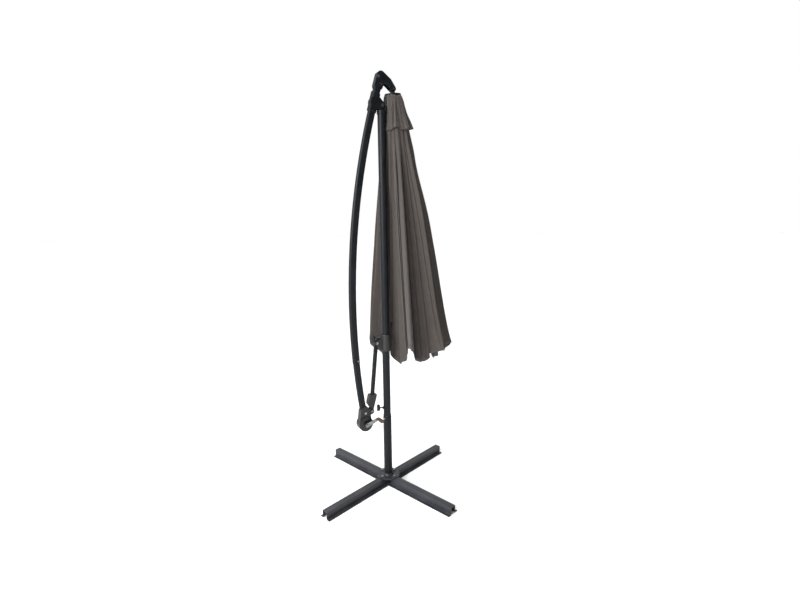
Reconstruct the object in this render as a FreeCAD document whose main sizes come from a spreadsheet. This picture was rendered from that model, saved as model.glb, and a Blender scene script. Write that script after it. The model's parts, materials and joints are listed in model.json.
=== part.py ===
import FreeCAD, Part
import os
import re
from math import acos, atan2, cos, hypot, pi, sin, sqrt

import Sketcher

# Cantilever parasol, folded.  Millimetres and degrees.  +Z is up, the origin is the centre of the base
# cross on the ground, and +X runs from the mast towards the side on which the canopy hangs.
V = FreeCAD.Vector
X_AXIS, Y_AXIS, Z_AXIS = (1, 0, 0), (0, 1, 0), (0, 0, 1)
RIBS = 8
RIB_STEP = 360 / RIBS

DIMS = {
    # cross base
    "base_azimuth": 18.1, "bar_length": 1000, "bar_height": 45, "bar_top": 38, "bar_wall": 3,
    "bar_fillet": 6, "bar_lip": 14, "lap_height": 22, "lap_gap": 0.5, "flange_dia": 138, "flange_thick": 6,
    "flange_collar_dia": 66, "flange_collar_rise": 8, "bolt_circle": 105, "bolt_dia": 8, "bolt_gap": 0.2,
    # mast
    "foot_tube_dia": 50, "tube_wall": 2, "foot_tube_top": 430, "neck_start": 438, "neck_dia": 40.4,
    "neck_top": 560, "collar_top": 441, "mast_dia": 44, "mast_bore": 41, "mast_low": 441.4,
    "mast_top": 2205, "joint_screw_z": 422, "joint_screw_azimuth": 200, "joint_screw_dia": 6,
    "cap_dia": 50, "cap_skirt_z": 2190, "cap_top": 2212, "fit_gap": 0.2,
    # clamp knobs
    "knob_azimuth": 153, "mast_knob_z": 486, "mast_knob_dia": 41, "mast_knob_thick": 20,
    "knob_stem_dia": 8, "boss_dia": 16, "boss_rise": 6, "mast_knob_seat": 42, "slider_knob_rise": 24,
    "slider_knob_dia": 40, "slider_knob_thick": 24, "slider_knob_seat": 66, "slider_boss_end": 55,
    "slider_boss_dia": 30,
    # head pivot and boom sleeve
    "head_pivot_z": 2235, "tongue_width": 30, "tongue_radius": 18, "head_bolt_dia": 10,
    "sleeve_round": 19, "sleeve_bore_round": 17, "sleeve_length": 100, "cheek_gap": 30.8,
    "cheek_width": 38, "cheek_radius": 16, "liner_round": 16.6, "liner_bore_round": 14.7,
    # boom: a curved flat-oval tube on one arc
    "boom_centre_x": 3835, "boom_centre_z": 1118, "boom_radius": 4042, "boom_round": 14, "boom_flat": 8,
    "boom_wall": 1.5, "boom_joint_z": 798, "boom_top_z": 2362, "lower_tube_z": 470, "lower_tube_top": 885,
    "joint_screw_rise": 14,
    # elbow over the head
    "elbow_foot_x": -19.5, "elbow_foot_z": 2335, "elbow_apex_x": -3.5, "elbow_apex_z": 2387,
    "elbow_mid_x": 42, "elbow_mid_z": 2361, "elbow_round": 25, "elbow_bore_round": 22.4,
    "elbow_mid_round": 20, "elbow_end_round": 14, "elbow_width": 35,
    "elbow_gap": 29, "hang_x": 72, "hang_z": 2330, "hang_pin_dia": 8, "upper_bolt_x": -21,
    "upper_bolt_z": 2381, "lower_bolt_x": -10, "lower_bolt_z": 2341,
    # slider on the mast and strut to the boom
    "slider_pin_x": -65, "slider_pin_z": 902, "slider_dia": 60, "slider_bore": 44.8, "slider_below": 56,
    "slider_above": 46, "ear_radius": 13, "ear_width": 26, "ear_gap": 13.4, "stub_dia": 8,
    "boom_pin_x": -108, "boom_pin_z": 489, "boom_pin_dia": 10, "strut_dia": 25, "strut_wall": 1.5,
    "eye_thick": 12, "eye_radius": 11, "eye_length": 60, "handle_width": 34, "handle_top": 104,
    "foot_eye_thick": 22, "foot_eye_radius": 12, "foot_eye_gap": 23.2,
    # crank housing at the lower end of the boom
    "spool_x": -152, "spool_z": 422, "casing_dia": 88, "casing_width": 48, "casing_wall": 3.5,
    "housing_x": -153, "housing_z": 497, "housing_round": 30, "housing_width": 36, "drum_dia": 60,
    "drum_flange_dia": 78, "crank_shaft_dia": 12, "arm_reach": 76, "arm_angle": 20, "arm_start": 38,
    "arm_thick": 6, "grip_dia": 22, "grip_length": 50, "grip_pin_dia": 6,
    # hanging canopy frame
    "hub_drop": 40, "bundle_tilt": 6.6, "bundle_tilt_azimuth": 36.5, "bundle_yaw": 20, "hub_dia": 96,
    "rib_ring": 40, "runner_ring": 30, "rib_closed": 4.5, "rib_length": 1530,
    "rib_depth": 10, "rib_width": 8, "rib_root": 20, "rib_eye_thick": 6, "rib_wire_dia": 3,
    "stretcher_on_rib": 560, "stretcher_length": 600, "fork_width": 12.8, "fork_gap": 8.8,
    "fork_length": 75, "stretcher_width": 7, "stretcher_depth": 9, "rivet_dia": 4, "runner_dia": 48,
    "runner_height": 56, "cord_dia": 5, "cap_plate_dia": 92, "hanger_thick": 5, "hanger_eye": 18,
    # closed fabric
    "cloth_gap": 7.2, "cloth_thick": 1.5, "panel_top": 60, "panel_bottom": 1524,
    "panel_bulge": 60, "vent_gap": 9.6, "vent_thick": 1.2, "vent_top": 20, "vent_bottom": 190,
    "panel_split": 0.5,
}

doc = FreeCAD.newDocument("cantilever_parasol")
dims = doc.addObject("Spreadsheet::Sheet", "dims")
for row, (alias, number) in enumerate(DIMS.items(), 1):
    dims.set(f"A{row}", str(number))
    dims.setAlias(f"A{row}", alias)
doc.recompute()
nodes = []


# ---- values and bindings -----------------------------------------------------------------------
def val(text):
    """Number that a formula of sheet names gives."""
    found = dims.evalExpression(str(text))
    return float(getattr(found, "Value", found))


def bind(item, path, text):
    """Tie one property to a formula of sheet names (every sheet name has an underscore)."""
    item.setExpression(path, re.sub(r"\b([a-z]+_[a-z_]+)\b", r"dims.\1", str(text)))


def place(item, x="0", y="0", z="0", axis=Z_AXIS, turn="0"):
    """Move an item to a bound position and turn it about one axis."""
    item.Placement = FreeCAD.Placement(V(val(x), val(y), val(z)), FreeCAD.Rotation(V(*axis), val(turn)))
    for path, text in (("x", x), ("y", y), ("z", z)):
        bind(item, f"Placement.Base.{path}", text)
    return item


def keep(item, label):
    """Name a finished sub-part and put it on the list that is written out."""
    item.Label = label
    nodes.append(item)
    return item


# ---- sketches ----------------------------------------------------------------------------------
def new_body(name):
    return doc.addObject("PartDesign::Body", name)


def origin_feature(body, role):
    return next(item for item in body.Origin.OriginFeatures if item.Role == role)


def sketch_on(body, role, offset="0"):
    """Sketch on an origin plane.  XZ_Plane looks along +Y, so its offset runs towards -Y."""
    sketch = body.newObject("Sketcher::SketchObject", body.Name + "_sketch")
    sketch.AttachmentSupport = [(origin_feature(body, role), "")]
    sketch.MapMode = "FlatFace"
    bind(sketch, "AttachmentOffset.Base.z", offset)
    return sketch


def pin_point(sketch, curve, end, x, y):
    """Hold one point of a curve at bound distances from the sketch origin."""
    for kind, text in (("DistanceX", x), ("DistanceY", y)):
        number = sketch.addConstraint(Sketcher.Constraint(kind, -1, 1, curve, end, val(text)))
        bind(sketch, f"Constraints[{number}]", text)


def hold_radius(sketch, curve, radius):
    number = sketch.addConstraint(Sketcher.Constraint("Radius", curve, val(radius)))
    bind(sketch, f"Constraints[{number}]", radius)


def circle(sketch, x, y, radius):
    curve = sketch.addGeometry(Part.Circle(V(val(x), val(y), 0), V(*Z_AXIS), val(radius)))
    pin_point(sketch, curve, 3, x, y)
    hold_radius(sketch, curve, radius)


def outline(sketch, corners):
    """Closed outline through (x, y) corners; (x, y, radius, side) makes the run to the next corner an
    arc whose centre lies on that side of the way travelled."""
    ends = []
    for this, after in zip(corners, corners[1:] + corners[:1]):
        start = V(val(this[0]), val(this[1]), 0)
        stop = V(val(after[0]), val(after[1]), 0)
        if len(this) == 2:
            curve = sketch.addGeometry(Part.LineSegment(start, stop))
            ends.append((curve, 1, 2))
            pin_point(sketch, curve, 1, *this)
            continue
        radius, side = this[2:]
        left = 1 if side == "left" else -1
        chord = stop - start
        rise = sqrt(max(0, val(radius) ** 2 - (chord.Length / 2) ** 2))
        centre = start + chord * 0.5 + V(-chord.y, chord.x, 0) * (left * rise / chord.Length)
        first, last = (start, stop) if left > 0 else (stop, start)
        angles = [atan2(point.y - centre.y, point.x - centre.x) for point in (first, last)]
        arc = Part.ArcOfCircle(Part.Circle(centre, V(*Z_AXIS), val(radius)), *angles)
        curve = sketch.addGeometry(arc)
        ends.append((curve, 1, 2) if left > 0 else (curve, 2, 1))
        pin_point(sketch, curve, ends[-1][1], *this[:2])
        hold_radius(sketch, curve, radius)
    for this, after in zip(ends, ends[1:] + ends[:1]):
        sketch.addConstraint(Sketcher.Constraint("Coincident", this[0], this[2], after[0], after[1]))


def hull(sketch, x1, y1, r1, x2, y2, r2):
    """Round-ended link: two circles joined by their outer tangents."""
    first, second = V(val(x1), val(y1), 0), V(val(x2), val(y2), 0)
    way = second - first
    heading = atan2(way.y, way.x)
    spread = acos((val(r1) - val(r2)) / way.Length)

    def point(centre, radius, angle):
        return centre + V(cos(angle), sin(angle), 0) * val(radius)

    low = (point(first, r1, heading - spread), point(second, r2, heading - spread))
    high = (point(second, r2, heading + spread), point(first, r1, heading + spread))
    far = Part.Circle(second, V(*Z_AXIS), val(r2))
    near = Part.Circle(first, V(*Z_AXIS), val(r1))
    curves = [
        sketch.addGeometry(Part.LineSegment(*low)),
        sketch.addGeometry(Part.ArcOfCircle(far, heading - spread, heading + spread)),
        sketch.addGeometry(Part.LineSegment(*high)),
        sketch.addGeometry(Part.ArcOfCircle(near, heading + spread, heading - spread + 2 * pi)),
    ]
    for this, after in zip(curves, curves[1:] + curves[:1]):
        sketch.addConstraint(Sketcher.Constraint("Tangent", this, 2, after, 1))
    for curve, x, y, radius in ((curves[3], x1, y1, r1), (curves[1], x2, y2, r2)):
        pin_point(sketch, curve, 3, x, y)
        hold_radius(sketch, curve, radius)


# ---- features ----------------------------------------------------------------------------------
def pad(body, sketch, length, both_ways=True):
    feature = body.newObject("PartDesign::Pad", body.Name + "_pad")
    feature.Profile = sketch
    feature.SideType = "Symmetric" if both_ways else "One side"
    bind(feature, "Length", length)
    doc.recompute()
    return feature


def pocket(body, sketch, width="5000"):
    """Cut a sketch equally to both sides of its plane, and check that it removed something."""
    before = body.Shape.Volume
    feature = body.newObject("PartDesign::Pocket", body.Name + "_pocket")
    feature.Profile = sketch
    feature.SideType = "Symmetric"
    feature.Type = "Length"
    bind(feature, "Length", width)
    doc.recompute()
    if body.Shape.Volume >= before:
        raise ValueError(f"{feature.Label} cut nothing")
    return feature


def repeat(body, feature, count):
    """Repeat a feature around the body's own Z axis."""
    pattern = body.newObject("PartDesign::PolarPattern", body.Name + "_pattern")
    pattern.Originals = [feature]
    pattern.Axis = (origin_feature(body, "Z_Axis"), [""])
    pattern.Angle = 360
    pattern.Occurrences = count
    body.Tip = pattern
    doc.recompute()
    return pattern


def turned(name, corners):
    """Body turned about its Z axis from an outline of (radius, height) corners."""
    body = new_body(name)
    sketch = sketch_on(body, "XZ_Plane")
    outline(sketch, corners)
    feature = body.newObject("PartDesign::Revolution", name + "_turn")
    feature.Profile = sketch
    feature.ReferenceAxis = (sketch, ["V_Axis"])
    feature.Angle = 360
    doc.recompute()
    return body


def plate(name, hulls, width):
    """Body padded from round-ended links in its XZ plane."""
    body = new_body(name)
    for link in hulls:
        sketch = sketch_on(body, "XZ_Plane")
        hull(sketch, *link)
        pad(body, sketch, width)
    return body


# ---- primitives --------------------------------------------------------------------------------
def rod(x, y, z, axis, radius, length):
    """Cylinder that starts at a point and runs along an axis."""
    item = doc.addObject("Part::Cylinder", "rod")
    bind(item, "Radius", radius)
    bind(item, "Height", length)
    place(item, x, y, z)
    item.Placement.Rotation = FreeCAD.Rotation(V(*Z_AXIS), V(*axis))
    return item


def hexagon(x, y, z, axis, across, height):
    item = doc.addObject("Part::Prism", "hexagon")
    item.Polygon = 6
    bind(item, "Circumradius", across)
    bind(item, "Height", height)
    place(item, x, y, z)
    item.Placement.Rotation = FreeCAD.Rotation(V(*Z_AXIS), V(*axis))
    return item


def join(*parts):
    item = doc.addObject("Part::MultiFuse", "join")
    item.Shapes = list(parts)
    return item


def group(*parts):
    item = doc.addObject("Part::Compound", "group")
    item.Links = list(parts)
    return item


def cut(base, *tools):
    item = doc.addObject("Part::Cut", "cut")
    item.Base = base
    item.Tool = tools[0] if len(tools) == 1 else join(*tools)
    doc.recompute()
    return item


def cross_bolt(x, z, radius, half_width):
    """Bolt along Y through a width, with a round head on the -Y side and a nut on the +Y side."""
    head, reach = f"1.8 * ({radius})", f"({half_width})"
    return join(
        rod(x, f"-{reach} - 4", z, Y_AXIS, head, "4"),
        rod(x, f"-{reach}", z, Y_AXIS, radius, f"2 * {reach} + 7"),
        hexagon(x, reach, z, Y_AXIS, head, "5"),
    )


# ---- base --------------------------------------------------------------------------------------
def base_bar(label, turn, notch_half, notch_low, notch_high):
    """Hat-section steel bar with a cross-lap notch at its middle and two bolt holes."""
    body = new_body(label)
    sketch = sketch_on(body, "YZ_Plane")
    top, root, foot = "bar_top / 2", "bar_top / 2 + bar_fillet", "bar_top / 2 + bar_fillet + bar_lip"
    inner, crown = "bar_top / 2 - bar_wall", "bar_height - bar_wall"
    bend, spring = "bar_fillet", "bar_wall + bar_fillet"
    outline(sketch, [
        (f"-({top})", "bar_height"),
        (top, "bar_height"),
        (top, spring, bend, "left"),
        (root, "bar_wall"),
        (foot, "bar_wall"),
        (foot, "0"),
        (root, "0", spring, "right"),
        (inner, spring),
        (inner, crown),
        (f"-({inner})", crown),
        (f"-({inner})", spring, spring, "right"),
        (f"-({root})", "0"),
        (f"-({foot})", "0"),
        (f"-({foot})", "bar_wall"),
        (f"-({root})", "bar_wall", bend, "left"),
        (f"-({top})", spring),
    ])
    pad(body, sketch, "bar_length")
    sketch = sketch_on(body, "XZ_Plane")
    outline(sketch, [
        (f"-({notch_half})", notch_low), (notch_half, notch_low),
        (notch_half, notch_high), (f"-({notch_half})", notch_high),
    ])
    pocket(body, sketch)
    sketch = sketch_on(body, "XY_Plane")
    for side in ("-", ""):
        circle(sketch, f"{side}bolt_circle / 2", "0", "bolt_dia / 2 + bolt_gap")
    pocket(body, sketch)
    place(body, turn=turn)
    keep(body, label)


def base():
    lower_notch = "bar_top / 2 + lap_gap"
    upper_notch = "bar_top / 2 + bar_fillet + bar_lip + lap_gap"
    base_bar("base_bar_lower", "base_azimuth", lower_notch, "lap_height", "bar_height + 1")
    base_bar("base_bar_upper", "base_azimuth + 90", upper_notch, "-1", "lap_height + lap_gap")
    top = "bar_height + flange_thick"
    body = turned("base_flange", [
        ("0", "bar_height"), ("flange_dia / 2", "bar_height"), ("flange_dia / 2", top),
        ("flange_collar_dia / 2", top), ("foot_tube_dia / 2 + fit_gap + 1.5", f"{top} + flange_collar_rise"),
        ("foot_tube_dia / 2 + fit_gap", f"{top} + flange_collar_rise"),
        ("foot_tube_dia / 2 + fit_gap", top), ("0", top),
    ])
    sketch = sketch_on(body, "XY_Plane")
    circle(sketch, "bolt_circle / 2", "0", "bolt_dia / 2 + bolt_gap")
    repeat(body, pocket(body, sketch), 4)
    keep(place(body, turn="base_azimuth"), "base_flange")
    bolts = []
    for quarter in range(4):
        angle = f"base_azimuth + {90 * quarter}"
        x, y = f"bolt_circle / 2 * cos({angle})", f"bolt_circle / 2 * sin({angle})"
        bolts.append(join(
            rod(x, y, "bar_height - bar_wall - 8", Z_AXIS, "bolt_dia / 2", "bar_wall + flange_thick + 10"),
            hexagon(x, y, top, Z_AXIS, "bolt_dia", "5.5"),
            hexagon(x, y, "bar_height - bar_wall - 6", Z_AXIS, "bolt_dia", "6"),
        ))
    keep(group(*bolts), "flange_bolts")


# ---- mast --------------------------------------------------------------------------------------
def direction(azimuth):
    return (cos(val(azimuth) * pi / 180), sin(val(azimuth) * pi / 180), 0)


def lobed_knob(label, dia, thick, seat, stem_end, height):
    """Six-lobed clamp knob on a stem, pointing away from the mast at the knob azimuth."""
    body = turned(label, [
        ("0", f"{stem_end} - {seat}"), ("knob_stem_dia / 2", f"{stem_end} - {seat}"),
        ("knob_stem_dia / 2", "0"), (f"0.3 * {dia}", "0"), (f"0.5 * {dia}", f"0.3 * {thick}"),
        (f"0.5 * {dia}", f"0.8 * {thick}"), (f"0.42 * {dia}", thick), ("0", thick),
    ])
    sketch = sketch_on(body, "XY_Plane")
    circle(sketch, f"0.62 * {dia}", "0", f"0.2 * {dia}")
    repeat(body, pocket(body, sketch), 6)
    place(body, f"{seat} * cos(knob_azimuth)", f"{seat} * sin(knob_azimuth)", height)
    body.Placement.Rotation = FreeCAD.Rotation(V(*Z_AXIS), V(*direction("knob_azimuth")))
    keep(body, label)


def mast():
    foot, neck = "foot_tube_dia / 2", "neck_dia / 2"
    low = "bar_height + flange_thick"
    tube = turned("foot_tube", [
        (f"{foot} - tube_wall", low), (foot, low), (foot, "foot_tube_top"), (neck, "neck_start"),
        (neck, "neck_top"), (f"{neck} - tube_wall", "neck_top"), (f"{neck} - tube_wall", "neck_start - 1"),
        (f"{foot} - tube_wall", "foot_tube_top - 1"),
    ])
    inwards = tuple(-part for part in direction("joint_screw_azimuth"))

    def screw_rod(start, radius, length):
        """Rod towards the mast's axis that starts at a distance from it."""
        x, y = (f"({start}) * {ratio}(joint_screw_azimuth)" for ratio in ("cos", "sin"))
        return rod(x, y, "joint_screw_z", inwards, radius, length)

    keep(cut(tube, screw_rod(f"{foot} + 5", "joint_screw_dia / 2 + fit_gap", "12")), "mast_lower_tube")
    keep(join(
        screw_rod(f"{foot} + 0.2", "joint_screw_dia / 2", "9"),
        screw_rod(f"{foot} + 2.7", "joint_screw_dia * 0.85", "2.5"),
    ), "mast_joint_screw")
    ring = turned("joint_collar", [
        (f"{neck} + fit_gap", "neck_start"), ("foot_tube_dia / 2 - 0.6", "neck_start"),
        ("foot_tube_dia / 2 - 0.6", "collar_top"), (f"{neck} + fit_gap", "collar_top"),
    ])
    keep(ring, "mast_joint_collar")

    stem = direction("knob_azimuth")
    way = ("cos(knob_azimuth)", "sin(knob_azimuth)")
    shell = join(
        rod("0", "0", "mast_low", Z_AXIS, "mast_dia / 2", "mast_top - mast_low"),
        rod(f"18 * {way[0]}", f"18 * {way[1]}", "mast_knob_z", stem, "boss_dia / 2", "4 + boss_rise"),
    )
    bore = rod("0", "0", "mast_low - 1", Z_AXIS, "mast_bore / 2", "mast_top - mast_low + 2")
    stem_bore = rod(f"10 * {way[0]}", f"10 * {way[1]}", "mast_knob_z", stem,
                    "knob_stem_dia / 2 + fit_gap", "30")
    keep(cut(shell, bore, stem_bore), "mast_upper_tube")
    lobed_knob("mast_knob", "mast_knob_dia", "mast_knob_thick", "mast_knob_seat",
               "(neck_dia / 2 + 0.5)", "mast_knob_z")


def head_bracket():
    """Cap on the mast top with the tongue that carries the head bolt."""
    rim = "mast_dia / 2 + 0.1"
    body = turned("head_bracket", [
        ("0", "mast_top + 0.3"), (rim, "mast_top + 0.3"), (rim, "cap_skirt_z"),
        ("cap_dia / 2", "cap_skirt_z"),
        ("cap_dia / 2", "cap_top - 4"), ("cap_dia / 2 - 4", "cap_top"), ("0", "cap_top"),
    ])
    sketch = sketch_on(body, "XZ_Plane")
    outline(sketch, [
        ("-tongue_radius", "cap_top - 1"), ("tongue_radius", "cap_top - 1"),
        ("tongue_radius", "head_pivot_z"), ("-tongue_radius", "head_pivot_z"),
    ])
    pad(body, sketch, "tongue_width")
    sketch = sketch_on(body, "XZ_Plane")
    circle(sketch, "0", "head_pivot_z", "tongue_radius")
    pad(body, sketch, "tongue_width")
    sketch = sketch_on(body, "XZ_Plane")
    circle(sketch, "0", "head_pivot_z", "head_bolt_dia / 2 + 0.05")
    pocket(body, sketch)
    keep(body, "mast_head_bracket")


# ---- sleeve in which the boom slides -----------------------------------------------------------
HEAD_ANGLE = "atan((head_pivot_z - boom_centre_z) / boom_centre_x)"
BOOM_REACH = "(boom_radius - sqrt(boom_centre_x ^ 2 + (head_pivot_z - boom_centre_z) ^ 2))"


def oval(sketch, centre, radius):
    """Flat oval of the boom family: two circles one flat apart along the sketch's X."""
    hull(sketch, f"{centre} - boom_flat", "0", radius, f"{centre} + boom_flat", "0", radius)


def yoke():
    body = new_body("yoke")
    sketch = sketch_on(body, "XY_Plane")
    oval(sketch, f"-{BOOM_REACH}", "sleeve_round")
    pad(body, sketch, "sleeve_length")
    sketch = sketch_on(body, "XZ_Plane")
    hull(sketch, f"10 - {BOOM_REACH}", "0", "0.35 * sleeve_length", "0", "0", "cheek_radius")
    pad(body, sketch, "cheek_width")
    sketch = sketch_on(body, "XY_Plane")
    oval(sketch, f"-{BOOM_REACH}", "sleeve_bore_round")
    pocket(body, sketch)
    sketch = sketch_on(body, "XZ_Plane")
    gap_start = f"boom_flat + sleeve_round - {BOOM_REACH} + 0.5"
    outline(sketch, [
        (gap_start, "-sleeve_length / 2"), ("tongue_radius + 4", "-sleeve_length / 2"),
        ("tongue_radius + 4", "sleeve_length / 2"), (gap_start, "sleeve_length / 2"),
    ])
    pocket(body, sketch, "cheek_gap")
    sketch = sketch_on(body, "XZ_Plane")
    circle(sketch, "0", "0", "head_bolt_dia / 2 + 0.05")
    pocket(body, sketch)
    place(body, z="head_pivot_z", axis=Y_AXIS, turn=HEAD_ANGLE)
    keep(body, "boom_yoke")

    body = new_body("liner")
    for radius, feature in (("liner_round", pad), ("liner_bore_round", pocket)):
        sketch = sketch_on(body, "XY_Plane")
        oval(sketch, f"-{BOOM_REACH}", radius)
        feature(body, sketch, "sleeve_length + 6")
    place(body, z="head_pivot_z", axis=Y_AXIS, turn=HEAD_ANGLE)
    keep(body, "yoke_liner")
    keep(cross_bolt("0", "head_pivot_z", "head_bolt_dia / 2", "cheek_width / 2"), "head_bolt")


# ---- boom --------------------------------------------------------------------------------------
def arc_angle(height):
    """Angle on the boom's arc, from level, of a point at a height."""
    return f"asin(({height} - boom_centre_z) / boom_radius)"


def boom_x(height):
    return f"(boom_centre_x - sqrt(boom_radius ^ 2 - ({height} - boom_centre_z) ^ 2))"


def arc_tube(name, low, high, outer, inner=None):
    """Curved flat-oval tube between two heights on the boom's arc."""
    body = new_body(name)
    sketch = sketch_on(body, "XY_Plane")
    oval(sketch, "boom_radius", outer)
    if inner:
        oval(sketch, "boom_radius", inner)
    feature = body.newObject("PartDesign::Revolution", name + "_arc")
    feature.Profile = sketch
    feature.ReferenceAxis = (sketch, ["V_Axis"])
    bind(feature, "Angle", f"{arc_angle(high)} - {arc_angle(low)}")
    doc.recompute()
    place(body, "boom_centre_x", "0", "boom_centre_z", Y_AXIS, f"180 deg + {arc_angle(low)}")
    return body


def bolt_bore(x, z):
    """Clearance bore along Y for one of the boom's cross bolts."""
    return rod(x, "-casing_width / 2", z, Y_AXIS, "bolt_dia / 2 + bolt_gap", "casing_width")


def boom_tubes():
    slip = "boom_round - boom_wall - fit_gap"
    upper = arc_tube("upper_arc", "boom_joint_z", "boom_top_z", "boom_round", "boom_round - boom_wall")
    lower = arc_tube("lower_arc", "lower_tube_z", "lower_tube_top", slip, f"{slip} - boom_wall")
    height = "(boom_joint_z + joint_screw_rise)"
    x = f"{boom_x(height)} + boom_flat"
    screws = [
        join(
            rod(x, f"{side} * (boom_round + 3)", height, inwards, "5", "3"),
            rod(x, f"{side} * (boom_round + 1)", height, inwards, "2.5", "8"),
        )
        for side, inwards in ((-1, Y_AXIS), (1, (0, -1, 0)))
    ]
    bores = [rod(x, "-boom_round - 4", height, Y_AXIS, "2.7", "2 * boom_round + 8") for _ in range(2)]
    top_bore = bolt_bore("lower_bolt_x", "lower_bolt_z")
    keep(cut(upper, bores[0], top_bore), "boom_upper_tube")
    keep(cut(lower, bores[1], bolt_bore("housing_x", "boom_pin_z")), "boom_lower_tube")
    keep(group(*screws), "boom_joint_screws")


def elbow():
    """Cast elbow: a socket over the top of the boom and a forked arm down to the hanging pin."""
    foot = ("elbow_foot_x", "elbow_foot_z")
    apex = ("elbow_apex_x", "elbow_apex_z")
    middle = ("elbow_mid_x", "elbow_mid_z")
    end = ("hang_x", "hang_z")
    body = plate("elbow", [
        (*foot, "elbow_round", *apex, "elbow_round"),
        (*apex, "elbow_round", *middle, "elbow_mid_round"),
        (*middle, "elbow_mid_round", *end, "elbow_end_round"),
    ], "elbow_width")
    inside = ("elbow_mid_x - 2", "elbow_mid_z - 2.5", "elbow_mid_round - 3")
    for link in (
        ("elbow_foot_x - 17", "elbow_foot_z - 57.5", "elbow_bore_round", *apex, "elbow_bore_round"),
        ("elbow_apex_x - 2", "elbow_apex_z - 2.5", "elbow_bore_round", *inside),
        (*inside, *end, "elbow_end_round + 1"),
    ):
        sketch = sketch_on(body, "XZ_Plane")
        hull(sketch, *link)
        pocket(body, sketch, "elbow_gap")
    bolts = (("upper_bolt_x", "upper_bolt_z"), ("lower_bolt_x", "lower_bolt_z"))
    sketch = sketch_on(body, "XZ_Plane")
    circle(sketch, *end, "hang_pin_dia / 2 + 0.05")
    for bolt in bolts:
        circle(sketch, *bolt, "bolt_dia / 2 + 0.05")
    pocket(body, sketch)
    keep(body, "boom_elbow")
    fasteners = [cross_bolt(*bolt, "bolt_dia / 2", "elbow_width / 2") for bolt in bolts]
    fasteners.append(cross_bolt("housing_x", "boom_pin_z", "bolt_dia / 2", "housing_width / 2"))
    keep(group(*fasteners), "boom_bolts")
    keep(cross_bolt(*end, "hang_pin_dia / 2", "elbow_width / 2"), "hanging_pin")


def crank_housing():
    """Spool casing, neck that takes the boom and ears that hold the strut pin."""
    spool, shoulder = ("spool_x", "spool_z"), ("housing_x", "housing_z")
    pin = ("boom_pin_x", "boom_pin_z")
    body = new_body("housing")
    sketch = sketch_on(body, "XZ_Plane")
    circle(sketch, *spool, "casing_dia / 2")
    pad(body, sketch, "casing_width")
    for link in (
        (*spool, "casing_dia / 2 - 4", *shoulder, "housing_round"),
        ("housing_x", "boom_pin_z", "24", *pin, "ear_radius + 1"),
    ):
        sketch = sketch_on(body, "XZ_Plane")
        hull(sketch, *link)
        pad(body, sketch, "housing_width")
    sketch = sketch_on(body, "XZ_Plane")
    gap = "boom_pin_x - foot_eye_radius - 4"
    outline(sketch, [
        (gap, "boom_pin_z - 30"), ("boom_pin_x + 30", "boom_pin_z - 30"),
        ("boom_pin_x + 30", "boom_pin_z + 50"), (gap, "boom_pin_z + 50"),
    ])
    pocket(body, sketch, "foot_eye_gap")
    sketch = sketch_on(body, "XZ_Plane")
    circle(sketch, *pin, "boom_pin_dia / 2 + 0.05")
    pocket(body, sketch)
    cavity = rod("spool_x", "-casing_width / 2 - 1", "spool_z", Y_AXIS, "casing_dia / 2 - casing_wall",
                 "casing_width - casing_wall + 1")
    socket = arc_tube("socket", "lower_tube_z", "lower_tube_z + 90", "boom_round - boom_wall")
    keep(cut(body, cavity, socket, bolt_bore("housing_x", "boom_pin_z")), "crank_housing")
    keep(cross_bolt(*pin, "boom_pin_dia / 2", "housing_width / 2"), "strut_pin")
    cover = turned("cover", [
        ("crank_shaft_dia / 2 + fit_gap", "0"), ("casing_dia / 2 - casing_wall - 0.1", "0"),
        ("casing_dia / 2 - casing_wall - 0.1", "casing_wall - 1"), ("casing_dia / 2 - 7", "casing_wall"),
        ("crank_shaft_dia / 2 + fit_gap", "casing_wall"),
    ])
    along_y(cover, "spool_x", "casing_wall - casing_width / 2", "spool_z")
    keep(cover, "housing_cover")


def along_y(body, x, y, z):
    """Stand a turned body with its Z axis along -Y."""
    place(body, x, y, z)
    body.Placement.Rotation = FreeCAD.Rotation(V(*Z_AXIS), V(0, -1, 0))
    return body


def crank():
    """Cord drum on its shaft, with the arm and the turning grip outside the casing."""
    half = "(casing_width / 2 - casing_wall - 1.5)"
    shaft, drum, rim = "crank_shaft_dia / 2", "drum_dia / 2", "drum_flange_dia / 2"
    body = turned("spool", [
        ("0", f"-{half}"), (rim, f"-{half}"), (rim, f"2 - {half}"), (drum, f"2 - {half}"),
        (drum, f"{half} - 2"), (rim, f"{half} - 2"), (rim, half), (shaft, half),
        (shaft, "arm_start"), ("0", "arm_start"),
    ])
    keep(along_y(body, "spool_x", "0", "spool_z"), "cord_spool")

    tip = ("arm_reach * cos(arm_angle)", "arm_reach * sin(arm_angle)")
    body = new_body("arm")
    sketch = sketch_on(body, "XZ_Plane", "arm_start")
    hull(sketch, "0", "0", "13", *tip, "8")
    pad(body, sketch, "arm_thick", False)
    sketch = sketch_on(body, "XZ_Plane", "arm_start + arm_thick")
    circle(sketch, "0", "0", "8")
    pad(body, sketch, "4", False)
    sketch = sketch_on(body, "XZ_Plane", "arm_start + arm_thick")
    circle(sketch, *tip, "grip_pin_dia / 2")
    pad(body, sketch, "grip_length + 3", False)
    keep(place(body, "spool_x", "0", "spool_z"), "crank_arm")

    bore, grip = "grip_pin_dia / 2 + fit_gap", "grip_dia / 2"
    body = turned("grip", [
        (bore, "0"), (f"0.75 * {grip}", "0"), (grip, "0.2 * grip_length"), (grip, "0.8 * grip_length"),
        (f"0.8 * {grip}", "grip_length"), (bore, "grip_length"),
    ])
    along_y(body, f"spool_x + {tip[0]}", "-arm_start - arm_thick - 1", f"spool_z + {tip[1]}")
    keep(body, "crank_grip")


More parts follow.
